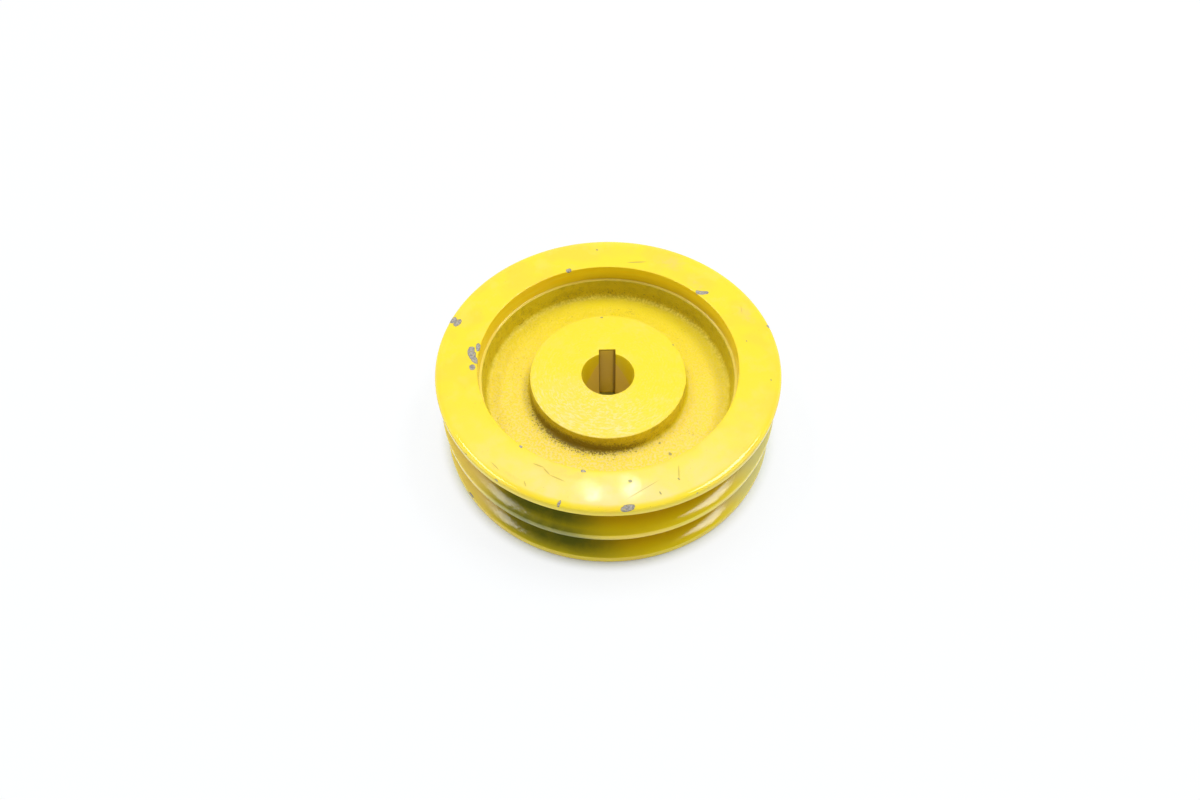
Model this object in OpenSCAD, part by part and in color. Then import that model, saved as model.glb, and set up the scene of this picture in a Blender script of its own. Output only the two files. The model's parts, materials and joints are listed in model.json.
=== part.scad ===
/* [Rim] */
// Outside diameter of the rim
rim_d = 160.5; // [140:0.5:200]
// Rounding of the rim's outer edges
rim_edge_r = 1; // [0.6:0.1:1.8]

/* [Belt grooves] */
// Number of V grooves side by side
groove_n = 2; // [2:1:4]
// Spacing of the groove centres
groove_pitch = 21; // [20:0.5:26]
// From the rim's face to the centre of the first groove
groove_edge = 13; // [12:0.5:18]
// Groove width at the outside diameter
groove_w = 17.4; // [14:0.2:18]
// Included angle of the groove's flanks
groove_angle = 34; // [30:1:38]
// Depth of the groove below the outside diameter
groove_depth = 14.5; // [10:0.5:16]
// Rounding at the groove's lips
groove_lip_r = 0.5; // [0.2:0.1:0.8]
// Rounding at the groove's root
groove_root_r = 1; // [0.4:0.1:1.5]

/* [Recess and web] */
// Metal left between the groove's root and the turned recess
rim_wall = 5; // [4:0.5:8]
// Depth of the turned recess in the front face
recess_depth = 8.5; // [4:0.5:10]
// Ledge left at the foot of the turned recess
ledge_w = 1.1; // [1:0.1:2.5]
// Rounding of the ledge's inner and outer corner
ledge_edge_r = 0.3; // [0.2:0.1:0.4]
// Thickness of the web, which sits at the middle of the face
web_t = 8; // [5:0.5:12]
// Casting draft on the walls of the rim and the hub
draft = 5; // [2:0.5:8]
// Fillet between the web and the rim
web_rim_r = 2.5; // [1:0.5:5]
// Fillet between the web and the hub
web_hub_r = 2; // [1:0.5:4]

/* [Hub] */
// Diameter of the hub at its front face
hub_d = 74; // [60:1:80]
// Front face of the hub below the front face of the rim
hub_front = 10.5; // [6:0.5:13]
// Back face of the hub above the back face of the rim
hub_back = 2; // [0:0.5:6]
// Rounding of the small edges at the hub, the recess and the back
edge_r = 0.4; // [0.3:0.1:1]

/* [Bore] */
// Diameter of the bore
bore_d = 25; // [16:1:38]
// Width of the keyway
key_w = 8; // [5:1:12]
// Depth of the keyway beyond the bore
key_depth = 2.5; // [1.5:0.1:4]

/* [Hidden] */
$fn = 96;
rim_r = rim_d / 2;
face_w = 2 * groove_edge + (groove_n - 1) * groove_pitch;
slope = tan(draft);
flank = groove_depth * tan(groove_angle / 2);
web_z0 = (face_w - web_t) / 2;
web_z1 = (face_w + web_t) / 2;
hub_z0 = hub_back;
hub_z1 = face_w - hub_front;
recess_z = face_w - recess_depth;
recess_r = rim_r - groove_depth - rim_wall;
ledge_r = recess_r - ledge_w;
wall_r = ledge_r - (recess_z - web_z1) * slope;
hub_r = hub_d / 2;
foot_r = hub_r + (hub_z1 - web_z1) * slope;
// The keyway's cutter runs past both faces by this much
over = 1;

// One V groove as points [radius, height, rounding], from the lower lip to the upper
function groove(z) = [
    [rim_r, z - groove_w / 2, groove_lip_r],
    [rim_r - groove_depth, z - groove_w / 2 + flank, groove_root_r],
    [rim_r - groove_depth, z + groove_w / 2 - flank, groove_root_r],
    [rim_r, z + groove_w / 2, groove_lip_r]
];

// The half section of the casting, from the bore's lower end anticlockwise
section = [
    [bore_d / 2, hub_z0, 0],
    [foot_r - (web_z0 - hub_z0) * slope, hub_z0, edge_r],
    [foot_r, web_z0, web_hub_r],
    [wall_r, web_z0, web_rim_r],
    [wall_r + web_z0 * slope, 0, edge_r],
    [rim_r, 0, rim_edge_r],
    for (i = [0 : groove_n - 1]) each groove(groove_edge + i * groove_pitch),
    [rim_r, face_w, rim_edge_r],
    [recess_r, face_w, edge_r],
    [recess_r, recess_z, ledge_edge_r],
    [ledge_r, recess_z, ledge_edge_r],
    [wall_r, web_z1, web_rim_r],
    [foot_r, web_z1, web_hub_r],
    [hub_r, hub_z1, edge_r],
    [bore_d / 2, hub_z1, 0]
];

function unit(v) = v / norm(v);
function flat(p) = [p[0], p[1]];
// Positive where the section turns left at a point, which is an outer corner
function turn(a, b, c) = (b[0] - a[0]) * (c[1] - b[1]) - (b[1] - a[1]) * (c[0] - b[0]);

// The sliver between a corner at b and the arc that rounds it
module corner(a, b, c, r) {
    u = unit(flat(a) - flat(b));
    v = unit(flat(c) - flat(b));
    half = acos(u * v) / 2;
    reach = r / tan(half);
    difference() {
        polygon([flat(b), flat(b) + u * reach, flat(b) + v * reach]);
        translate(flat(b) + unit(u + v) * r / sin(half)) circle(r);
    }
}

// The outline with outer corners cut round and inner corners filled round
module rounded(points) {
    n = len(points);
    union() {
        difference() {
            polygon([for (p = points) flat(p)]);
            for (i = [0 : n - 1]) {
                a = points[(i + n - 1) % n];
                c = points[(i + 1) % n];
                if (points[i][2] > 0 && turn(a, points[i], c) > 0) corner(a, points[i], c, points[i][2]);
            }
        }
        for (i = [0 : n - 1]) {
            a = points[(i + n - 1) % n];
            c = points[(i + 1) % n];
            if (points[i][2] > 0 && turn(a, points[i], c) < 0) corner(a, points[i], c, points[i][2]);
        }
    }
}

// The whole casting: turned section with the keyway broached through the hub
module pulley() {
    color("gold")
        difference() {
            rotate_extrude() rounded(section);
            translate([-key_w / 2, 0, -over])
                cube([key_w, bore_d / 2 + key_depth, face_w + 2 * over]);
        }
}

pulley();
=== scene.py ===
import json
from math import acos, asin, atan, ceil, cos, radians, sin, tan
import bpy
import numpy as np
from mathutils import Matrix, Vector


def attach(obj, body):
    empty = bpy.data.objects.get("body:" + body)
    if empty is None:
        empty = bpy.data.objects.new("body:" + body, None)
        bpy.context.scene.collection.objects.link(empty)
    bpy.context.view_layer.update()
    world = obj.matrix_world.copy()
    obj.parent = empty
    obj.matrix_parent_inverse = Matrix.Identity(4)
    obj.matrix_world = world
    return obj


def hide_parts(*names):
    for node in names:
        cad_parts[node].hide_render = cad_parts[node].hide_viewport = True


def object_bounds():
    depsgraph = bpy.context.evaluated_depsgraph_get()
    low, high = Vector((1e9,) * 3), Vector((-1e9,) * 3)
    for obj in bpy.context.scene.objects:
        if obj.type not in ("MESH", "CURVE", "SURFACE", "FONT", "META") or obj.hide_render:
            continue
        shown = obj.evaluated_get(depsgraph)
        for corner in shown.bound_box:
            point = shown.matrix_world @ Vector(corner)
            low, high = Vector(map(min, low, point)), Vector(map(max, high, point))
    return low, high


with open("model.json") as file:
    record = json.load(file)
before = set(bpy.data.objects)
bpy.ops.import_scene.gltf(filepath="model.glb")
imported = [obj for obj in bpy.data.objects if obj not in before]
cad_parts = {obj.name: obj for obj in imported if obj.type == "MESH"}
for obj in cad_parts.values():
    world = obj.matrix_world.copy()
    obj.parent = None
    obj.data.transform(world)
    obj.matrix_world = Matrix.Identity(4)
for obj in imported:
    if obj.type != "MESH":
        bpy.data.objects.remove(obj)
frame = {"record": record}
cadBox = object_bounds()
mm = 0.001
print("frame loaded, box", [round(v, 4) for corner in cadBox for v in corner])

mounts = {m["name"]: m for m in frame["record"]["mounts"]}

# sizes in millimetres; rim, bore, hub and groove heights come from the frame
pulleySizes = {
    "rimRadius": round(cadBox[1].x / mm, 2),
    "faceWidth": cadBox[1].z / mm,
    "rimEdge": 1.0,
    "grooveCentres": [mounts[n]["pos_m"][2] / mm for n in ("lower_belt_groove", "upper_belt_groove")],
    "grooveWidth": 17.4,
    "grooveAngle": 34,
    "grooveDepth": 14.5,
    "grooveLip": 0.5,
    "grooveRoot": 1.0,
    "recessRadius": 60.75,
    "recessDepth": 8.5,
    "ledge": 1.1,
    "ledgeEdge": 0.3,
    "webThickness": 8,
    "draft": 5,
    "webRimFillet": 2.5,
    "webHubFillet": 2,
    "hubRadius": 37,
    "hubFrontZ": mounts["hub_front_face"]["pos_m"][2] / mm,
    "hubBackZ": mounts["hub_back_face"]["pos_m"][2] / mm,
    "smallEdge": 0.4,
    "boreEdge": 0.25,
    "boreRadius": mounts["bore"]["dims"]["r_mm"],
    "keyWidth": 8,
    "keyFloor": mounts["keyway"]["pos_m"][1] / mm,
}

# how dense the surface is and how deep its relief stands, in millimetres; turns and halves in degrees
pulleySurface = {
    "columnsRound": 312,
    "columnsKeyFloor": 31,
    "columnsKeySide": 4,
    "stepFine": 0.65,
    "stepFace": 1.1,
    "stepPlain": 2.6,
    "stepBack": 1.7,
    "arcStep": 0.6,
    "sharpFrom": 48,
    "castRelief": [(0.08, 9.0, 40, 3), (0.05, 3.2, 60, 5), (0.05, 1.7, 80, 7)],  # height, length, waves, seed
    "castFade": 2.0,
    "paintRelief": (0.003, 11.0, 40, 11),  # height, length, waves, seed
    "paintSpread": 3,
    "shoulderFrom": 77.3,
    "shoulderReach": 2.3,
    "shoulderDrop": 0.080,
    "keyBlend": 10.0,
}
finishNames = ("cast", "bore", "bored", "flank", "sprayed")

# where wear and painted light and shade lie on the surface, in millimetres; turns and halves in degrees
pulleyWearAndLight = {
    "grimeShadeReach": 3.4,
    "grimeShadeRise": 4.5,
    "grimeShadeFrom": 1.0,
    "grimeShadeTurn": 243,
    "grimeShadePower": 5,
    "grimeShadeLeast": 0.1,
    "highlightReach": 2.2,
    "highlightTurn": 70,
    "highlightEven": 0.6,
    "cornerReach": 3.0,
    "cornerRise": 4.0,
    "cornerGrit": (85, 62, 0.30),  # turn, half, share
    "stainShade": (245, 18.5),  # turn, half
    "stainShadeShift": 3.5,
    "stainShadeLand": 0.9,
    "stainShadeLip": 0.28,
    "stainShadeDeep": 0.95,
    "stainShadeFull": 0.35,
    "landHalf": 2,
    "landSkin": 0.6,
    "lipLine": (79.0, 0.4, 246, 17),  # radius, half width, turn, half
    "sideTints": [(211, 16, 0.45), (334, 17, 0.8)],  # turn, half, share
    "landTint": (344, 13, 0.5),  # turn, half, share
    "sheens": [(271, 5.5), (262, 1.05), (247, 4)],  # turn and power on the rim, the web and the hub
    "sheenBand": [(61, 0.2), (66, 0.7), (69, 1.0), (77.4, 1.0), (78.4, 0.1)],  # radius, share
    "sheenHub": [(13, 0.55), (34, 1.25)],  # radius, share
    "zoneMargin": 2,
    "dullEven": 0.22,
    "shadeBack": 0.34,
    "shadeHub": 0.4,
    "backShadeTurn": (58, 55),  # turn, half
    "hubShadeTurn": (228, 48),  # turn, half
}


def webHeights(p):
    return (p["faceWidth"] - p["webThickness"]) / 2, (p["faceWidth"] + p["webThickness"]) / 2


def footRadius(p):
    return p["hubRadius"] + (p["hubFrontZ"] - webHeights(p)[1]) * tan(radians(p["draft"]))


def wallFoot(p):
    rise = p["faceWidth"] - p["recessDepth"] - webHeights(p)[1]
    return p["recessRadius"] - p["ledge"] - rise * tan(radians(p["draft"]))


def sectionCorners(p):
    # half section as corners (radius, height, rounding, finish of the next edge, step), anticlockwise
    slope = tan(radians(p["draft"]))
    flank = p["grooveDepth"] * tan(radians(p["grooveAngle"] / 2))
    webBack, webFront = webHeights(p)
    foot = footRadius(p)
    ledgeZ = p["faceWidth"] - p["recessDepth"]
    ledgeRadius = p["recessRadius"] - p["ledge"]
    wallRadius = wallFoot(p)
    backHub = foot - (webBack - p["hubBackZ"]) * slope
    fine, face = pulleySurface["stepFine"], pulleySurface["stepFace"]
    plain, back = pulleySurface["stepPlain"], pulleySurface["stepBack"]
    corners = [
        (p["boreRadius"], p["hubBackZ"], p["boreEdge"], "turned", plain),
        (backHub, p["hubBackZ"], p["smallEdge"], "cast", back),
        (foot, webBack, p["webHubFillet"], "cast", back),
        (wallRadius, webBack, p["webRimFillet"], "cast", back),
        (wallRadius + webBack * slope, 0, p["smallEdge"], "turned", plain),
        (p["rimRadius"], 0, p["rimEdge"], "turned", plain),
    ]
    for z in p["grooveCentres"]:
        low, high = z - p["grooveWidth"] / 2, z + p["grooveWidth"] / 2
        rootRadius = p["rimRadius"] - p["grooveDepth"]
        corners += [
            (p["rimRadius"], low, p["grooveLip"], "flank", plain),
            (rootRadius, low + flank, p["grooveRoot"], "flank", plain),
            (rootRadius, high - flank, p["grooveRoot"], "flank", plain),
            (p["rimRadius"], high, p["grooveLip"], "turned", plain),
        ]
    corners += [
        (p["rimRadius"], p["faceWidth"], p["rimEdge"], "turned", face),
        (p["recessRadius"], p["faceWidth"], p["smallEdge"], "bored", fine),
        (p["recessRadius"], ledgeZ, p["ledgeEdge"], "turned", fine),
        (ledgeRadius, ledgeZ, p["ledgeEdge"], "cast", fine),
        (wallRadius, webFront, p["webRimFillet"], "cast", fine),
        (foot, webFront, p["webHubFillet"], "cast", fine),
        (p["hubRadius"], p["hubFrontZ"], p["smallEdge"], "sprayed", face),
        (p["boreRadius"], p["hubFrontZ"], p["boreEdge"], "bore", plain),
    ]
    return corners


def sectionRows(corners):
    # rows along the outline: each corner is an arc tangent to both edges, each edge is stepped evenly,
    # and each finish fades in and out over the arcs at its ends
    count = len(corners)
    spots = np.array([c[:2] for c in corners], float)
    arcs = []
    for i, (_, _, rounding, _, _) in enumerate(corners):
        before = spots[i - 1] - spots[i]
        after = spots[(i + 1) % count] - spots[i]
        before, after = before / np.linalg.norm(before), after / np.linalg.norm(after)
        half = acos(np.clip(before @ after, -1, 1)) / 2
        reach = rounding / tan(half)
        start, end = spots[i] + before * reach, spots[i] + after * reach
        middle = (before + after) / np.linalg.norm(before + after)
        centre = spots[i] + middle * rounding / sin(half)
        turn = np.pi - 2 * half
        steps = max(3, ceil(turn * rounding / pulleySurface["arcStep"]))
        share = np.linspace(0, 1, steps + 1)
        a, b = start - centre, end - centre
        blend = (np.sin((1 - share) * turn)[:, None] * a + np.sin(share * turn)[:, None] * b) / sin(turn)
        arcs.append((blend + centre, share))
    pieces = []
    weights = {name: [] for name in finishNames}
    for i, (_, _, _, finish, step) in enumerate(corners):
        arc, share = arcs[i]
        start, end = arc[-1], arcs[(i + 1) % count][0][0]
        steps = max(1, ceil(np.linalg.norm(end - start) / step))
        inside = np.linspace(0, 1, steps + 1)[1:-1]
        pieces += [arc, start + (end - start) * inside[:, None]]
        for name, rows in weights.items():
            rows.append((1 - share) * (corners[i - 1][3] == name) + share * (finish == name))
            rows.append(np.full(len(inside), float(finish == name)))
    return np.concatenate(pieces), {name: np.concatenate(rows) for name, rows in weights.items()}


def columnAngles(p):
    # angles from the keyway's middle: evenly over its floor, its two sides, and the rest of the round
    floorHalf = atan(p["keyWidth"] / 2 / p["keyFloor"])
    sideEnd = asin(p["keyWidth"] / 2 / p["boreRadius"])
    s = pulleySurface
    floor = np.linspace(-floorHalf, floorHalf, s["columnsKeyFloor"])
    right = np.linspace(floorHalf, sideEnd, s["columnsKeySide"])[1:]
    around = np.linspace(sideEnd, 2 * np.pi - sideEnd, s["columnsRound"])[1:]
    left = np.linspace(-sideEnd, -floorHalf, s["columnsKeySide"])[1:-1]
    return np.concatenate([floor, right, around, left]), floorHalf, sideEnd


def boreOutline(angle, floorHalf, sideEnd, p):
    # bore radius round the axis: a circle, then the flat side walls and the flat floor of the keyway
    folded = np.abs((angle + np.pi) % (2 * np.pi) - np.pi)
    side = p["keyWidth"] / 2 / np.maximum(np.sin(folded), 1e-6)
    floor = p["keyFloor"] / np.cos(np.minimum(folded, 1.2))
    outline = np.where(folded <= floorHalf, floor, np.where(folded < sideEnd, side, p["boreRadius"]))
    return outline, (folded > floorHalf - 1e-6) & (folded < sideEnd + 1e-6)


def waveNoise(points, size, waves, seed):
    # sum of plane waves in random directions with lengths near size, scaled to unit spread
    rng = np.random.default_rng(seed)
    way = rng.normal(size=(waves, 3))
    way /= np.linalg.norm(way, axis=1)[:, None]
    way *= (2 * np.pi / size * rng.uniform(0.7, 1.4, waves))[:, None]
    shift = rng.uniform(0, 2 * np.pi, waves)
    total = np.zeros(len(points))
    for k in range(waves):
        total += np.cos(points @ way[k] + shift[k])
    return total * np.sqrt(2 / waves)


def turnFrom(turn, at):
    # signed angle in degrees from the turn named at
    return (np.degrees(turn) - at + 180) % 360 - 180


def stretch(turn, at, half):
    # near 1 within half of the turn named at, falling to 0 beyond
    return np.exp(-(turnFrom(turn, at) / half) ** 4)


def rowsFromEdge(rows, cast):
    # distance along the outline from each row to the nearest row that isn't cast
    step = np.linalg.norm(np.roll(rows, -1, 0) - rows, axis=1)
    along = np.concatenate([[0], np.cumsum(step)[:-1]])
    apart = np.abs(along[:, None] - along[None, cast < 0.01])
    return np.minimum(apart, step.sum() - apart).min(1)


def pulleyRows(p):
    # rows of the section with a soft shoulder to the rim's front edge: its drop grows with the square of
    # the way out
    s = pulleySurface
    rows, weights = sectionRows(sectionCorners(p))
    over = np.clip(rows[:, 0] - s["shoulderFrom"], 0, s["shoulderReach"])
    topLip = p["grooveCentres"][1] + p["grooveWidth"] / 2
    topLand = p["faceWidth"] - p["rimEdge"] - topLip
    rows[:, 1] -= s["shoulderDrop"] * over ** 2 * np.clip((rows[:, 1] - topLip) / topLand, 0, 1)
    return rows, weights


def castWearAndLight(p, w, radius, height, turn):
    # grime with painted shade darkens the hub's wall from its foot up, grit thins out over the web, most of
    # both on one side
    webFront = webHeights(p)[1]
    front = height > p["faceWidth"] / 2
    upWall = np.maximum(height - webFront - w["grimeShadeFrom"], 0) / w["grimeShadeRise"]
    outWeb = np.maximum(radius - footRadius(p), 0) / w["grimeShadeReach"]
    oneSide = (0.5 + 0.5 * np.cos(turn - radians(w["grimeShadeTurn"]))) ** w["grimeShadePower"]
    uneven = w["grimeShadeLeast"] + (1 - w["grimeShadeLeast"]) * oneSide
    grimeShade = front * np.exp(-upWall ** 2 - 3 * outWeb) * uneven
    grit = front * np.exp(-upWall ** 2 - outWeb) * uneven
    # the fillet at the rim carries a painted highlight, brightest at the back, with grit on the wall above it
    # at the back
    fromRim = np.hypot(radius - wallFoot(p), height - webFront)
    fromGrit = np.hypot(radius - wallFoot(p), height - webFront - w["cornerRise"])
    highlightRound = w["highlightEven"] + (1 - w["highlightEven"]) * np.cos(turn - radians(w["highlightTurn"]))
    filletHighlight = np.exp(-(fromRim / w["highlightReach"]) ** 2) * highlightRound
    gritTurn, gritHalf, gritShare = w["cornerGrit"]
    corner = np.exp(-(fromGrit / w["cornerReach"]) ** 2) * stretch(turn, gritTurn, gritHalf)
    # walls are darkened, partly as dull cast paint and partly as painted shade: most at the back of the rim
    # and on one side of the hub, and even on the hidden side
    onHub = radius < footRadius(p) + 0.3
    rimShade = w["dullEven"] + w["shadeBack"] * stretch(turn, *w["backShadeTurn"])
    dullShade = np.where(onHub, w["shadeHub"] * stretch(turn, *w["hubShadeTurn"]), rimShade)
    dullShade = np.where(front, dullShade, w["dullEven"])
    return {"grimeShade": grimeShade, "grit": np.maximum(grit, gritShare * corner), "filletHighlight": filletHighlight, "dullShade": dullShade}


def grooveWearAndShade(p, w, radius, height, turn, flank):
    # the grooves get painted shade that deepens inwards; a stretch of them and of the land between is stained
    # and shaded, longer in the lower groove, and a pale tint lies at the sides
    depth = flank * np.clip((p["rimRadius"] - radius) / p["grooveDepth"], 0, 1)
    middle = np.mean(p["grooveCentres"])
    stainShadeTurn, stainShadeHalf = (value + w["stainShadeShift"] * (height < middle) for value in w["stainShade"])
    onLand = radius > p["rimRadius"] - w["landSkin"]
    midLand = (np.abs(height - middle) < w["landHalf"]) & onLand
    deeper = w["stainShadeLip"] + (w["stainShadeDeep"] - w["stainShadeLip"]) * np.clip(depth / w["stainShadeFull"], 0, 1)
    soiledShade = np.maximum(flank * deeper, w["stainShadeLand"] * midLand)
    # a pale tint on the flanks at both sides, and on one side of the lower land
    sideTint = sum(share * stretch(turn, at, half) for at, half, share in w["sideTints"])
    landTurn, landHalf, landShare = w["landTint"]
    lowLand = (height < middle + w["landHalf"]) & onLand
    landTint = landShare * (lowLand * (1 - flank)) * stretch(turn, landTurn, landHalf)
    # a fine dark line runs along the lower groove's lip
    lineRadius, lineHalf, lineTurn, lineReach = w["lipLine"]
    onLip = (height < p["grooveCentres"][0]) * flank
    lipLine = onLip * np.exp(-((radius - lineRadius) / lineHalf) ** 2) * stretch(turn, lineTurn, lineReach)
    # a stain with painted shade on one side, darker deeper in the grooves
    stainShade = soiledShade * stretch(turn, stainShadeTurn, stainShadeHalf)
    return {"depth": depth, "stainShade": stainShade, "sideTint": np.maximum(flank * sideTint, landTint), "lipLine": lipLine}


def paintedSheen(p, w, radius, turn, facing):
    # a painted sheen lies on the faces that look up, round one side: a raised cosine to a power for each zone
    onRim = radius[:, 0] > p["recessRadius"] - w["zoneMargin"]
    onWeb = radius[:, 0] > p["hubRadius"] + w["zoneMargin"]
    zone = np.where(onRim, 0, np.where(onWeb, 1, 2))
    sheenTurn, sheenPower = np.array(w["sheens"], float)[zone].T[:, :, None]
    across = [np.interp(radius[:, 0], *np.array(w[name]).T) for name in ("sheenBand", "sheenHub")]
    band = np.select([zone == 0, zone == 2], across, 1)[:, None]
    return facing * band * (0.5 + 0.5 * np.cos(turn - np.radians(sheenTurn))) ** sheenPower


def surfaceFields(p, rows, along, weights, turn):
    # how much of each finish, each kind of wear and each painted light or shade lies at a row and a turn
    w = pulleyWearAndLight
    radius, height = rows[:, :1], rows[:, 1:]
    fields = {name: weight[:, None] for name, weight in weights.items()}
    fields["wall"] = np.abs(along[:, 1:])
    fields.update(castWearAndLight(p, w, radius, height, turn))
    # painted shade on the walls, and on the bored wall at the back
    fields["dullShade"] = fields["cast"] * fields["wall"] * fields["dullShade"]
    fields["backShade"] = fields["bored"] * stretch(turn, *w["backShadeTurn"])
    fields.update(grooveWearAndShade(p, w, radius, height, turn, fields["flank"]))
    # painted sheen on the faces that look up
    facing = np.clip(-along[:, :1], 0, 1) * (1 - fields["flank"])
    fields["sheen"] = paintedSheen(p, w, radius, turn, facing)
    # the ledge is marked for a painted highlight
    atLedge = np.abs(height - (p["faceWidth"] - p["recessDepth"])) < 0.2
    fields["ledge"] = atLedge & (np.abs(radius - p["recessRadius"]) < p["ledge"] + 0.1)
    return fields


def pulleyMesh(p):
    s = pulleySurface
    rows, weights = pulleyRows(p)
    angles, floorHalf, sideEnd = columnAngles(p)
    nRows, nCols = len(rows), len(angles)
    # rows on the bore take its outline, and rows on the hub's faces fade from it to circles
    fade = np.clip(1 - (rows[:, 0] - p["boreRadius"]) / s["keyBlend"], 0, 1)
    outline, keySide = boreOutline(angles, floorHalf, sideEnd, p)
    radius = rows[:, :1] + fade[:, None] * (outline - p["boreRadius"])[None, :]
    turn = angles[None, :] + np.pi / 2
    grid = np.stack([radius * np.cos(turn), radius * np.sin(turn), np.repeat(rows[:, 1:], nCols, 1)], -1)
    points = grid.reshape(-1, 3)
    # outward normal of a row: its direction in the section turned a quarter clockwise
    along = np.roll(rows, -1, 0) - np.roll(rows, 1, 0)
    along /= np.linalg.norm(along, axis=1)[:, None]
    normal = np.stack([along[:, 1:] * np.cos(turn), along[:, 1:] * np.sin(turn),
                       np.repeat(-along[:, :1], nCols, 1)], -1).reshape(-1, 3)
    # cast faces swell both ways, and smooth paint only sinks
    castRise = np.repeat(np.clip(rowsFromEdge(rows, weights["cast"]) / s["castFade"], 0, 1), nCols)
    smooth = np.repeat((1 - weights["cast"]) * (1 - weights["bore"]), nCols)
    relief = castRise * sum(rise * waveNoise(points, *wave) for rise, *wave in s["castRelief"])
    paintRise, *paintWave = s["paintRelief"]
    spread = s["paintSpread"]
    relief += smooth * paintRise * (np.clip(waveNoise(points, *paintWave), -spread, spread) - spread)
    points = points + normal * relief[:, None]
    # quads between neighbouring rows and columns, closed both ways round
    i, j = np.meshgrid(np.arange(nRows), np.arange(nCols), indexing="ij")
    iNext, jNext = (i + 1) % nRows, (j + 1) % nCols
    quads = np.stack([i * nCols + j, i * nCols + jNext, iNext * nCols + jNext, iNext * nCols + j], -1)
    mesh = bpy.data.meshes.new("pulleyBody")
    mesh.from_pydata(points * mm, [], quads.reshape(-1, 4))
    mesh.update()
    mesh.shade_smooth()
    mesh.set_sharp_from_angle(angle=radians(s["sharpFrom"]))
    fields = surfaceFields(p, rows, along, weights, turn)
    fields["keySide"] = fields["bore"] * keySide[None, :]
    fields["keyway"] = fields["bore"] * (outline > p["boreRadius"])[None, :]
    for name, values in fields.items():
        attribute = mesh.attributes.new(name, "FLOAT", "POINT")
        everywhere = np.broadcast_to(values, (nRows, nCols)).ravel()
        attribute.data.foreach_set("value", everywhere.astype(np.float32))
    print("pulley surface", nRows, "rows", nCols, "columns", 2 * nRows * nCols, "triangles")
    return mesh


def addNode(tree, kind, inputs=None, **settings):
    # makes a node, sets its fields, and fills inputs with numbers or links from other sockets
    made = tree.nodes.new(kind)
    for name, value in settings.items():
        setattr(made, name, value)
    for name, value in (inputs or {}).items():
        if isinstance(value, bpy.types.NodeSocket):
            tree.links.new(value, made.inputs[name])
        else:
            made.inputs[name].default_value = value
    return made


def mixColour(tree, share, first, second):
    return addNode(tree, "ShaderNodeMix", {0: share, 6: first, 7: second}, data_type="RGBA").outputs[2]


def maths(tree, operation, *values):
    return addNode(tree, "ShaderNodeMath", dict(enumerate(values)), operation=operation).outputs[0]


def product(tree, *values):
    total = values[0]
    for value in values[1:]:
        total = maths(tree, "MULTIPLY", total, value)
    return total


def ramp(tree, value, low, high, start=0.0, end=1.0):
    made = addNode(tree, "ShaderNodeMapRange", {0: value, 1: low, 2: high, 3: start, 4: end},
                   interpolation_type="SMOOTHSTEP")
    return made.outputs[0]


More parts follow.
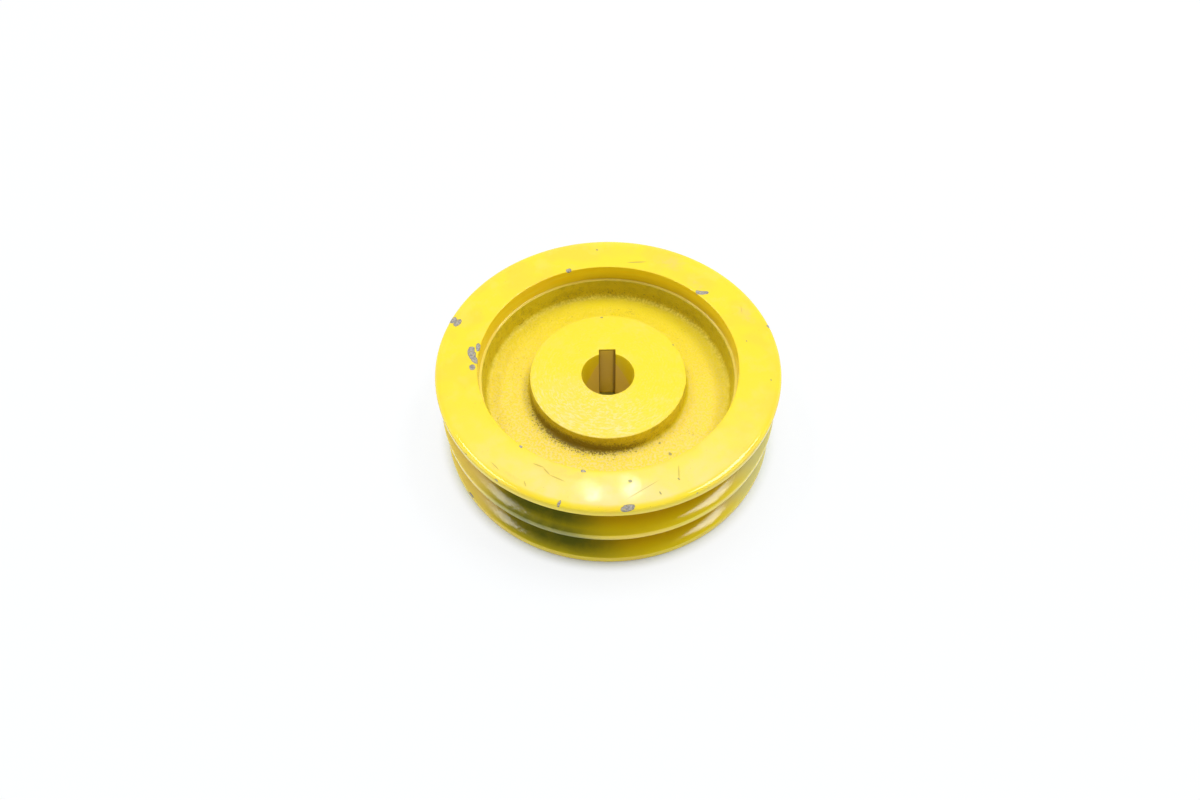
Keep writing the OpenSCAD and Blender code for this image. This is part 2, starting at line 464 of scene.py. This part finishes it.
# marks: angle from +X and radius of the middle, half sizes round and across, z and tall as the height and
# the half size upward where they aren't the rim's face and markTall, lean towards the axis in degrees
faceZ = pulleySizes["faceWidth"]
hubZ = pulleySizes["hubFrontZ"]
webZ = webHeights(pulleySizes)[1]
markTall = 1.6
paintMarks = {
    "chips": [
        {"at": (160.0, 78.8), "half": (2.1, 1.9)},
        {"at": (160.9, 75.9), "half": (2.6, 1.5), "lean": -10},
        {"at": (175.2, 63.9), "half": (4.2, 1.8), "lean": 21},
        {"at": (178.2, 62.2), "half": (3.0, 1.5), "lean": 30},
        {"at": (172.8, 64.4), "half": (1.7, 1.3)},
        {"at": (171.3, 61.6), "half": (2.7, 1.0), "lean": 12},
        {"at": (182.6, 63.0), "half": (1.6, 1.4)},
        {"at": (107.2, 61.6), "half": (1.4, 1.2)},
        {"at": (40.7, 63.5), "half": (2.9, 1.2), "lean": 55},
        {"at": (42.4, 61.9), "half": (1.5, 1.3)},
        {"at": (13.6, 79.8), "half": (1.0, 0.9)},
        {"at": (258.8, 61.8), "half": (1.2, 0.8)},
        {"at": (230.6, 61.5), "half": (0.8, 0.6)},
        {"at": (253.6, 79.3), "half": (0.7, 1.8), "lean": -15},
        {"at": (274.3, 79.1), "half": (3.3, 1.6), "lean": 12},
        {"at": (300.0, 80.3), "half": (1.8, 0.3)},
        {"at": (296.0, 80.4), "half": (0.8, 0.25)},
        {"at": (232.5, 80.3), "half": (1.7, 0.35)},
        {"at": (218.7, 80.4), "half": (0.8, 0.4)},
        {"at": (214.5, 80.4), "half": (2.6, 0.7), "z": 4.4, "tall": 1.2},
    ],
    "specks": [
        {"at": (276.5, 66.6), "half": (0.9, 0.7)},
        {"at": (285.3, 74.7), "half": (0.3, 0.9)},
        {"at": (8.3, 66.4), "half": (0.6, 0.4)},
        {"at": (349.3, 75.4), "half": (0.6, 0.4)},
        {"at": (92.8, 73.4), "half": (0.7, 0.6)},
        {"at": (93.6, 35.9), "half": (0.7, 0.5), "z": hubZ},
        {"at": (28.0, 36.5), "half": (0.8, 0.4), "z": hubZ},
        {"at": (304.0, 48.5), "half": (0.6, 1.0), "z": webZ},
        {"at": (303.6, 41.0), "half": (0.8, 0.5), "z": webZ},
        {"at": (293.1, 71.3), "half": (0.4, 0.6)},
    ],
    "scratches": [
        {"at": (294.4, 68.3), "half": (3.8, 0.32), "lean": 63},
        {"at": (280.3, 71.4), "half": (9.0, 0.22), "lean": 22},
        {"at": (241.5, 65.2), "half": (3.0, 0.35), "lean": 4},
        {"at": (245.4, 66.4), "half": (2.5, 0.40), "lean": -27},
        {"at": (250.0, 67.9), "half": (4.0, 0.34), "lean": -8},
        {"at": (229.0, 75.6), "half": (3.0, 0.30), "lean": -8},
        {"at": (241.0, 75.6), "half": (1.6, 0.30), "lean": -45},
        {"at": (24.2, 72.1), "half": (3.1, 0.18), "lean": -24},
        {"at": (75.5, 65.8), "half": (5.4, 0.6), "lean": 16},
    ],
    "patches": [
        {"at": (254.0, 64.2), "half": (20.0, 2.8)},
        {"at": (234.0, 75.8), "half": (11.0, 1.6)},
        {"at": (62.0, 71.5), "half": (9.0, 5.5)},
        {"at": (46.0, 65.0), "half": (6.0, 3.0)},
        {"at": (22.0, 73.0), "half": (7.0, 4.0)},
    ],
}


def nearestMark(tree, spot, marks):
    # smallest reach over the marks: 0 at a mark's middle and 1 on its ellipsoid's edge
    best = None
    for mark in marks:
        angle, radius = mark["at"]
        middle = (radius * cos(radians(angle)), radius * sin(radians(angle)), mark.get("z", faceZ))
        turned = (0, 0, radians(angle + 90 + mark.get("lean", 0)))
        size = (*mark["half"], mark.get("tall", markTall))
        inside = addNode(tree, "ShaderNodeMapping", {"Vector": spot, "Location": middle, "Rotation": turned,
                                                     "Scale": size}, vector_type="TEXTURE")
        length = addNode(tree, "ShaderNodeVectorMath", {0: inside.outputs[0]}, operation="LENGTH")
        reach = length.outputs["Value"]
        best = reach if best is None else maths(tree, "MINIMUM", best, reach)
    return best


# colours are linear; sizes and reliefs in millimetres; some colours paint shade on walls, in grooves, at the
# hub's foot and on the bored wall, and sheen and highlights on faces, the fillet and the ledge
paintLook = {
    "yellow": (0.95, 0.74, 0.020, 1),
    "yellowWarm": (0.95, 0.675, 0.035, 1),
    "yellowPale": (0.95, 0.73, 0.09, 1),
    "yellowSheen": (0.88, 0.70, 0.23, 1),
    "hubChalkSheen": (0.94, 0.77, 0.27, 1),
    "castLevel": (0.85, 0.69, 0.012, 1),
    "castShade": (0.36, 0.265, 0.008, 1),
    "castSheenPale": (0.87, 0.72, 0.30, 1),
    "filletHighlightPale": (0.97, 0.80, 0.08, 1),
    "pitOlive": (0.30, 0.20, 0.010, 1),
    "grimeShadeBrown": (0.15, 0.095, 0.007, 1),
    "gritBrown": (0.22, 0.15, 0.012, 1),
    "flankShadeBrown": (0.63, 0.405, 0.004, 1),
    "lipGold": (1.0, 0.80, 0.003, 1),
    "tintLeft": (0.90, 0.67, 0.22, 1),
    "tintRight": (0.66, 0.63, 0.27, 1),
    "stainShadeOlive": (0.130, 0.155, 0.016, 1),
    "lineBrown": (0.12, 0.09, 0.015, 1),
    "toolGold": (0.95, 0.66, 0.004, 1),
    "boredShadeBrown": (0.42, 0.27, 0.004, 1),
    "ledgeHighlight": (0.98, 0.82, 0.20, 1),
    "patchTan": (0.95, 0.65, 0.10, 1),
    "bareMetal": (0.42, 0.40, 0.375, 1),
    "bareDark": (0.22, 0.20, 0.185, 1),
    "scratchOlive": (0.50, 0.38, 0.05, 1),
    "speckDark": (0.26, 0.24, 0.10, 1),
    "boreGold": (0.95, 0.76, 0.008, 1),
    "boreSteel": (0.90, 0.68, 0.10, 1),
    "keyShade": (0.36, 0.22, 0.015, 1),
    "sprayDepth": 0.5,
    "spraySlope": 1.55,
    "roughTurned": 0.07,
    "roughCast": 0.34,
    "roughFlank": 0.12,
    "roughSprayed": 0.20,
    "roughBare": 0.5,
    "roughKey": 0.9,
    "roughStain": 0.05,  # added to the groove's own
    "roughTint": 0.10,
    "reliefCast": 0.5,
    "reliefPeel": 0.008,
    "reliefSpray": 0.10,
    "reliefTool": 0.04,
    "reliefChip": -0.12,
    "reliefMark": -0.06,
    "reliefStain": 0.12,
    "ior": 1.45,
}


def paintMaterial(look):
    material = bpy.data.materials.new("yellowEnamel")
    material.use_nodes = True
    tree = material.node_tree
    tree.nodes.clear()
    place = addNode(tree, "ShaderNodeTexCoord").outputs["Object"]
    inMm = addNode(tree, "ShaderNodeVectorMath", {0: place, "Scale": 1 / mm}, operation="SCALE").outputs[0]
    x, y, height = addNode(tree, "ShaderNodeSeparateXYZ", {0: inMm}).outputs
    angle = maths(tree, "ARCTAN2", y, x)

    def noise(size, detail=2.0, roughness=0.5, vector=inMm, output=0):
        made = addNode(tree, "ShaderNodeTexNoise", {"Vector": vector, "Scale": 1 / size, "Detail": detail,
                                                    "Roughness": roughness})
        return made.outputs[output]

    def attribute(name):
        return addNode(tree, "ShaderNodeAttribute", attribute_name=name).outputs["Fac"]

    cast, bore, bored, flank, sprayed = (attribute(name) for name in finishNames)
    wall, grimeShade, grit, filletHighlight = (attribute(name) for name in ("wall", "grimeShade", "grit", "filletHighlight"))
    keySide, keyway = attribute("keySide"), attribute("keyway")
    depth, stainShade, sideTint, sheen = (attribute(name) for name in ("depth", "stainShade", "sideTint", "sheen"))
    dullShade, backShade, ledge, lipLine = (attribute(name) for name in ("dullShade", "backShade", "ledge", "lipLine"))
    level = maths(tree, "SUBTRACT", 1.0, wall)
    # enamel: lemon with warm and pale patches, and a painted sheen on the faces that look up, round one side
    plain = maths(tree, "MULTIPLY_ADD", sprayed, -0.8, 1.0)
    warm = product(tree, plain, ramp(tree, noise(22), 0.45, 0.62, 0.0, 0.8))
    colour = mixColour(tree, warm, look["yellow"], look["yellowWarm"])
    cloud = noise(12.0, 4.0, 0.6)
    pale = product(tree, ramp(tree, cloud, 0.48, 0.72, 0.0, 0.6), level)
    colour = mixColour(tree, pale, colour, look["yellowPale"])
    turnedTop = maths(tree, "SUBTRACT", 1.0, maths(tree, "MAXIMUM", sprayed, cast))
    sheenShare = maths(tree, "MULTIPLY_ADD", turnedTop, 0.5, maths(tree, "MULTIPLY_ADD", sprayed, -0.2, 0.4))
    sheenPatches = product(tree, sheen, sheenShare, ramp(tree, cloud, 0.35, 0.62, 0.65, 1.15))
    colour = mixColour(tree, sheenPatches, colour, look["yellowSheen"])
    # spray streaks run round the hub's face: noise that is slow round the axis and quick across it; they are
    # pale, and much paler on one side as a painted sheen
    fromAxis = maths(tree, "SQRT", maths(tree, "MULTIPLY_ADD", x, x, maths(tree, "MULTIPLY", y, y)))
    ringSpot = addNode(tree, "ShaderNodeCombineXYZ", {0: maths(tree, "MULTIPLY", angle, 12.0), 1: fromAxis})
    streaks = noise(1.0, 4.0, 0.7, ringSpot.outputs[0])
    chalkySheen = maths(tree, "MULTIPLY_ADD", sheen, 1.05, 0.10)
    mottled = ramp(tree, noise(3.2, 3.0), 0.38, 0.62, 0.4, 1.4)
    chalkSheen = product(tree, sprayed, ramp(tree, streaks, 0.44, 0.62), chalkySheen, mottled)
    colour = mixColour(tree, chalkSheen, colour, look["hubChalkSheen"])
    # cast surfaces: walls dulled with painted shade, pale sandy grain with a painted sheen on the web, a
    # painted highlight in its corners at the rim, dark pits in clusters, grime with painted shade at the
    # hub's foot
    covered = ramp(tree, sheen, 0.0, 0.5, 0.85, 0.6)
    colour = mixColour(tree, product(tree, cast, covered), colour, look["castLevel"])
    colour = mixColour(tree, dullShade, colour, look["castShade"])
    grain = noise(1.1, 3.0, 0.6)
    sandSheen = product(tree, level, maths(tree, "MULTIPLY_ADD", sheen, 0.70, 0.04))
    coarse = product(tree, cast, ramp(tree, grain, 0.46, 0.58))
    colour = mixColour(tree, product(tree, coarse, sandSheen), colour, look["castSheenPale"])
    colour = mixColour(tree, product(tree, coarse, filletHighlight, 0.95), colour, look["filletHighlightPale"])
    cluster = maths(tree, "MULTIPLY_ADD", noise(11.0), 0.45, noise(0.8, 3.0, 0.6))
    blotch = product(tree, cast, wall, ramp(tree, noise(4.5, 4.0, 0.65), 0.48, 0.68, 0.0, 0.40))
    colour = mixColour(tree, blotch, colour, look["castShade"])
    pits = product(tree, ramp(tree, cluster, 0.88, 0.98), cast, maths(tree, "MULTIPLY_ADD", wall, 0.5, 0.4))
    colour = mixColour(tree, pits, colour, look["pitOlive"])
    smearedShade = product(tree, grimeShade, ramp(tree, noise(2.5, 3.0), 0.3, 0.6, 0.7, 1.0))
    colour = mixColour(tree, smearedShade, colour, look["grimeShadeBrown"])
    gritty = maths(tree, "MULTIPLY_ADD", grit, 0.46, noise(0.75, 3.0, 0.6))
    colour = mixColour(tree, product(tree, ramp(tree, gritty, 0.68, 0.82), 0.9), colour, look["gritBrown"])
    # grooves: gold paint, painted shade deepening inwards, a pale tint at the sides, a stain with painted
    # shade on one stretch, a dark line along a lip
    colour = mixColour(tree, product(tree, flank, 0.8), colour, look["lipGold"])
    deepShade = product(tree, flank, ramp(tree, depth, 0.08, 0.55, 0.0, 0.95))
    colour = mixColour(tree, deepShade, colour, look["flankShadeBrown"])
    tintHue = mixColour(tree, ramp(tree, x, -10.0, 10.0), look["tintLeft"], look["tintRight"])
    colour = mixColour(tree, sideTint, colour, tintHue)
    patchy = ramp(tree, noise(5.0, 4.0, 0.6), 0.3, 0.6, 0.82, 1.0)
    colour = mixColour(tree, product(tree, stainShade, patchy), colour, look["stainShadeOlive"])
    colour = mixColour(tree, product(tree, lipLine, patchy, 0.3), colour, look["lineBrown"])
    # tool lines run round the bored wall: noise that is slow round the axis and quick along it
    lineSpot = addNode(tree, "ShaderNodeCombineXYZ", {0: maths(tree, "MULTIPLY", angle, 3.0), 2: height})
    lines = noise(0.9, 2.0, 0.6, lineSpot.outputs[0])
    colour = mixColour(tree, product(tree, bored, ramp(tree, lines, 0.30, 0.70)), colour, look["toolGold"])
    # painted shade: the bored wall darkens towards its foot at the back
    ledgeZ = faceZ - pulleySizes["recessDepth"]
    footShade = product(tree, backShade, ramp(tree, height, ledgeZ, ledgeZ + 6.0, 0.60, 0.18))
    colour = mixColour(tree, footShade, colour, look["boredShadeBrown"])
    # a painted highlight along the ledge
    colour = mixColour(tree, product(tree, ledge, 0.5), colour, look["ledgeHighlight"])
    # the bore is bare below a rim of spray beside the keyway, and sprayed all over on the other side
    opposite = ramp(tree, y, 1.0, -1.0, 0.0, pulleySizes["boreRadius"] + 5.0)
    sideways = maths(tree, "MAXIMUM", maths(tree, "ABSOLUTE", x), opposite)
    ragged = maths(tree, "MULTIPLY_ADD", noise(4.0), 2.0, height)
    ragged = maths(tree, "MULTIPLY_ADD", sideways, look["spraySlope"], ragged)
    spray = ramp(tree, ragged, hubZ - look["sprayDepth"] + 0.2, hubZ - look["sprayDepth"] + 1.8)
    spray = maths(tree, "SUBTRACT", spray, keyway)
    inside = mixColour(tree, spray, look["boreSteel"], look["boreGold"])
    # painted shade darkens the keyway in its corners, more on one side, and along its upper edge
    rightSide, leftSide = ramp(tree, x, 2.5, 3.5), ramp(tree, x, -3.3, -3.9)
    upperEdge = ramp(tree, height, hubZ - 1.1, hubZ - 0.7)
    corner = maths(tree, "MAXIMUM", maths(tree, "MAXIMUM", rightSide, leftSide), upperEdge)
    shaded = maths(tree, "MAXIMUM", product(tree, keyway, corner, 0.75), keySide)
    inside = mixColour(tree, shaded, inside, look["keyShade"])
    colour = mixColour(tree, bore, colour, inside)
    # chips, specks and scratches, with edges broken up by noise
    shake = addNode(tree, "ShaderNodeVectorMath", {0: noise(1.5, 3.0, output=1), 1: (0.5, 0.5, 0.5)},
                    operation="SUBTRACT").outputs[0]
    shaken = addNode(tree, "ShaderNodeVectorMath", {0: shake, 1: (1.4, 1.4, 0.0), 2: inMm},
                     operation="MULTIPLY_ADD").outputs[0]
    chipReach = nearestMark(tree, shaken, paintMarks["chips"])
    flecks = ramp(tree, noise(0.7, 2.0), 0.58, 0.66, 1.0, 0.35)
    chipped = product(tree, ramp(tree, chipReach, 1.06, 0.94), flecks)
    mottle = ramp(tree, noise(0.8, 3.0), 0.35, 0.65)
    bare = mixColour(tree, mottle, look["bareMetal"], look["bareDark"])
    # the bare metal darkens towards each chip's edge: a painted shadow of the paint's step
    bare = mixColour(tree, ramp(tree, chipReach, 0.75, 0.95), bare, look["bareDark"])
    scratched = ramp(tree, nearestMark(tree, inMm, paintMarks["scratches"]), 1.1, 0.6)
    speckled = ramp(tree, nearestMark(tree, shaken, paintMarks["specks"]), 1.2, 0.6)
    soft = ramp(tree, noise(3.0, 3.0), 0.40, 0.60, 0.25, 0.85)
    patched = product(tree, ramp(tree, nearestMark(tree, shaken, paintMarks["patches"]), 1.2, 0.3), soft)
    colour = mixColour(tree, patched, colour, look["patchTan"])
    marked = product(tree, maths(tree, "MAXIMUM", scratched, speckled), 0.7)
    colour = mixColour(tree, product(tree, scratched, 0.7), colour, look["scratchOlive"])
    colour = mixColour(tree, product(tree, speckled, 0.85), colour, look["speckDark"])
    colour = mixColour(tree, chipped, colour, bare)
    # relief: cast grain, orange peel, spray dust, tool lines, chip floors, scratches and stain
    relief = product(tree, grain, cast, look["reliefCast"])
    layers = [
        (noise(5.0, 1.0), look["reliefPeel"]),
        (product(tree, noise(1.4, 2.0), sprayed), look["reliefSpray"]),
        (product(tree, lines, bored), look["reliefTool"]),
        (chipped, look["reliefChip"]),
        (marked, look["reliefMark"]),
        (product(tree, noise(2.0, 2.0), stainShade), look["reliefStain"]),
    ]
    for layer, rise in layers:
        relief = maths(tree, "MULTIPLY_ADD", layer, rise, relief)
    bump = addNode(tree, "ShaderNodeBump", {"Height": relief, "Strength": 1.0, "Distance": mm})
    rough = base = look["roughTurned"]
    for share, name in ((cast, "roughCast"), (flank, "roughFlank"), (sprayed, "roughSprayed")):
        rough = maths(tree, "MULTIPLY_ADD", share, look[name] - base, rough)
    rough = maths(tree, "MULTIPLY_ADD", stainShade, look["roughStain"], rough)
    rough = maths(tree, "MULTIPLY_ADD", sideTint, look["roughTint"], rough)
    bareShare = maths(tree, "MAXIMUM", chipped, maths(tree, "MAXIMUM", product(tree, bore, 0.6), marked))
    rough = maths(tree, "MAXIMUM", rough, product(tree, bareShare, look["roughBare"]))
    rough = maths(tree, "MAXIMUM", rough, product(tree, keySide, look["roughKey"]))
    shader = addNode(tree, "ShaderNodeBsdfPrincipled", {"Base Color": colour, "Roughness": rough,
                                                        "Normal": bump.outputs[0], "IOR": look["ior"]})
    addNode(tree, "ShaderNodeOutputMaterial", {"Surface": shader.outputs[0]})
    return material


pulley = bpy.data.objects.new("pulleyBody", pulleyMesh(pulleySizes))
bpy.context.scene.collection.objects.link(pulley)
pulley.data.materials.append(paintMaterial(paintLook))
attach(pulley, "root")
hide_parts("pulley")
print("pulley painted")

# floor and light: panels hang level, places and sizes in metres, strength as the radiance seen; a hidden
# panel lights the object but isn't mirrored in it
stageLook = {
    "floorSize": 12.0,
    "floorColour": (0.86, 0.92, 1.0, 1),
    "floorWhite": 0.84,
    "floorSeen": (0.995, 1.0, 1.0, 1),
    "whiteFrom": 0.082,
    "whiteBlend": 0.004,
    "panels": {
        "panelTop": {"place": (0.0, 0.65, 3.0), "size": (1.50, 1.20), "radiance": 6.8, "hidden": True},
        "panelRight": {"place": (1.43, 0.55, 3.0), "size": (0.76, 1.50), "radiance": 11.5},
        "panelLeft": {"place": (-1.52, 0.65, 3.0), "size": (0.55, 1.40), "radiance": 9.0},
        "bulbLeft": {"place": (-0.012, 1.640, 2.95), "size": (0.048, 0.050), "radiance": 32.0},
        "bulbRight": {"place": (0.146, 1.664, 2.95), "size": (0.046, 0.034), "radiance": 52.0},
    },
    "roomHigh": 0.12,
    "roomLow": 0.80,
    "sideLeft": 0.45,
    "sideRight": 0.05,
    "glowAt": (0.04, 0.575, 0.0),
    "glowReach": (0.37, 0.24, 1.0),
    "glow": 1.1,
    "glossFront": 0.12,
    "glossSide": 2.2,
    "background": 1.0,
}


def makeFloor(look):
    half = look["floorSize"] / 2
    mesh = bpy.data.meshes.new("floor")
    corners = [(-half, -half, 0), (half, -half, 0), (half, half, 0), (-half, half, 0)]
    mesh.from_pydata(corners, [], [(0, 1, 2, 3)])
    floor = bpy.data.objects.new("floor", mesh)
    bpy.context.scene.collection.objects.link(floor)
    material = bpy.data.materials.new("floorWhite")
    material.use_nodes = True
    tree = material.node_tree
    tree.nodes.clear()
    place = addNode(tree, "ShaderNodeTexCoord").outputs["Object"]
    path = addNode(tree, "ShaderNodeLightPath")
    seen = maths(tree, "MAXIMUM", path.outputs["Is Camera Ray"], path.outputs["Is Glossy Ray"])
    # the floor shows itself white outside the object's foot
    paper = addNode(tree, "ShaderNodeBsdfDiffuse", {"Color": look["floorColour"]})
    white = addNode(tree, "ShaderNodeEmission", {"Color": look["floorSeen"], "Strength": 1.0})
    fromAxis = addNode(tree, "ShaderNodeVectorMath", {0: place}, operation="LENGTH").outputs["Value"]
    whiteFrom, blend = look["whiteFrom"], look["whiteBlend"]
    clear = ramp(tree, fromAxis, whiteFrom - blend, whiteFrom + blend)
    share = product(tree, seen, clear, look["floorWhite"])
    mixed = addNode(tree, "ShaderNodeMixShader", {0: share, 1: paper.outputs[0], 2: white.outputs[0]})
    addNode(tree, "ShaderNodeOutputMaterial", {"Surface": mixed.outputs[0]})
    mesh.materials.append(material)


def makeLight(look):
    for name, panel in look["panels"].items():
        lamp = bpy.data.lights.new(name, "AREA")
        lamp.shape = "RECTANGLE"
        lamp.size, lamp.size_y = panel["size"]
        lamp.energy = panel["radiance"] * np.pi * panel["size"][0] * panel["size"][1]
        holder = bpy.data.objects.new(name, lamp)
        holder.location = panel["place"]
        holder.visible_glossy = not panel.get("hidden", False)
        bpy.context.scene.collection.objects.link(holder)
    # the room is white to the eye; as a light it is brighter low down and at the sides, with a soft glow
    # high at the back
    world = bpy.data.worlds.new("whiteRoom")
    bpy.context.scene.world = world
    world.use_nodes = True
    tree = world.node_tree
    tree.nodes.clear()
    way = addNode(tree, "ShaderNodeTexCoord").outputs["Generated"]
    split = addNode(tree, "ShaderNodeSeparateXYZ", {0: way})
    low = ramp(tree, split.outputs[2], 1.0, 0.0, look["roomHigh"], look["roomLow"])
    left = ramp(tree, split.outputs[0], -0.5, -0.95, 1.0, 1 + look["sideLeft"])
    right = ramp(tree, split.outputs[0], 0.5, 0.95, 1.0, 1 + look["sideRight"])
    sides = product(tree, left, right)
    # the glow is an ellipse on a level ceiling, found from the slopes of the direction
    slopeX, slopeY = (maths(tree, "DIVIDE", split.outputs[k], split.outputs[2]) for k in (0, 1))
    slopes = addNode(tree, "ShaderNodeCombineXYZ", {0: slopeX, 1: slopeY})
    inside = addNode(tree, "ShaderNodeMapping", {"Vector": slopes.outputs[0], "Location": look["glowAt"],
                                                 "Scale": look["glowReach"]}, vector_type="TEXTURE")
    reach = addNode(tree, "ShaderNodeVectorMath", {0: inside.outputs[0]}, operation="LENGTH")
    glow = ramp(tree, reach.outputs["Value"], 1.0, 0.0, 0.0, look["glow"])
    ambient = maths(tree, "MULTIPLY_ADD", low, sides, glow)
    path = addNode(tree, "ShaderNodeLightPath")
    back = ramp(tree, split.outputs[1], 0.0, 0.45, look["glossFront"], look["background"])
    beside = ramp(tree, maths(tree, "ABSOLUTE", split.outputs[0]), 0.45, 0.85, 0.0, look["glossSide"])
    bright = maths(tree, "MAXIMUM", maths(tree, "MULTIPLY_ADD", back, sides, glow), beside)
    mirrored = product(tree, path.outputs["Is Glossy Ray"], bright)
    shown = maths(tree, "MAXIMUM", path.outputs["Is Camera Ray"], path.outputs["Is Transmission Ray"])
    strength = maths(tree, "MAXIMUM", ambient, maths(tree, "MAXIMUM", mirrored, shown))
    sky = addNode(tree, "ShaderNodeBackground", {"Color": (1, 1, 1, 1), "Strength": strength})
    addNode(tree, "ShaderNodeOutputWorld", {"Surface": sky.outputs[0]})


makeFloor(stageLook)
makeLight(stageLook)
print("stage lit")

# camera place in millimetres, turns in degrees, focal length in pixels of the 1200 pixel wide picture
cameraFit = {
    "place": (-7.47, -255.25, 358.2),
    "down": 53.30,
    "heading": 0.804,
    "roll": -0.605,
    "focal": 864.7,
    "pictureWidth": 1200,
    "sensorWidth": 36,
}


def makeCamera(fit):
    # looks along heading and down, then rolls about that line
    down, heading, roll = (radians(fit[k]) for k in ("down", "heading", "roll"))
    ahead = Vector((sin(heading) * cos(down), cos(heading) * cos(down), -sin(down)))
    right = ahead.cross(Vector((0, 0, 1))).normalized()
    up = right.cross(ahead)
    rightRolled = right * cos(roll) + up * sin(roll)
    upRolled = up * cos(roll) - right * sin(roll)
    data = bpy.data.cameras.new("viewer")
    data.sensor_fit = "HORIZONTAL"
    data.sensor_width = fit["sensorWidth"]
    data.lens = fit["focal"] / fit["pictureWidth"] * fit["sensorWidth"]
    data.clip_start, data.clip_end = 0.01, 50
    camera = bpy.data.objects.new("viewer", data)
    turned = Matrix((rightRolled, upRolled, -ahead)).transposed().to_4x4()
    camera.matrix_world = Matrix.Translation(Vector(fit["place"]) * mm) @ turned
    bpy.context.scene.collection.objects.link(camera)
    bpy.context.scene.camera = camera


makeCamera(cameraFit)
bpy.context.scene.view_settings.view_transform = "Standard"
print("camera placed")
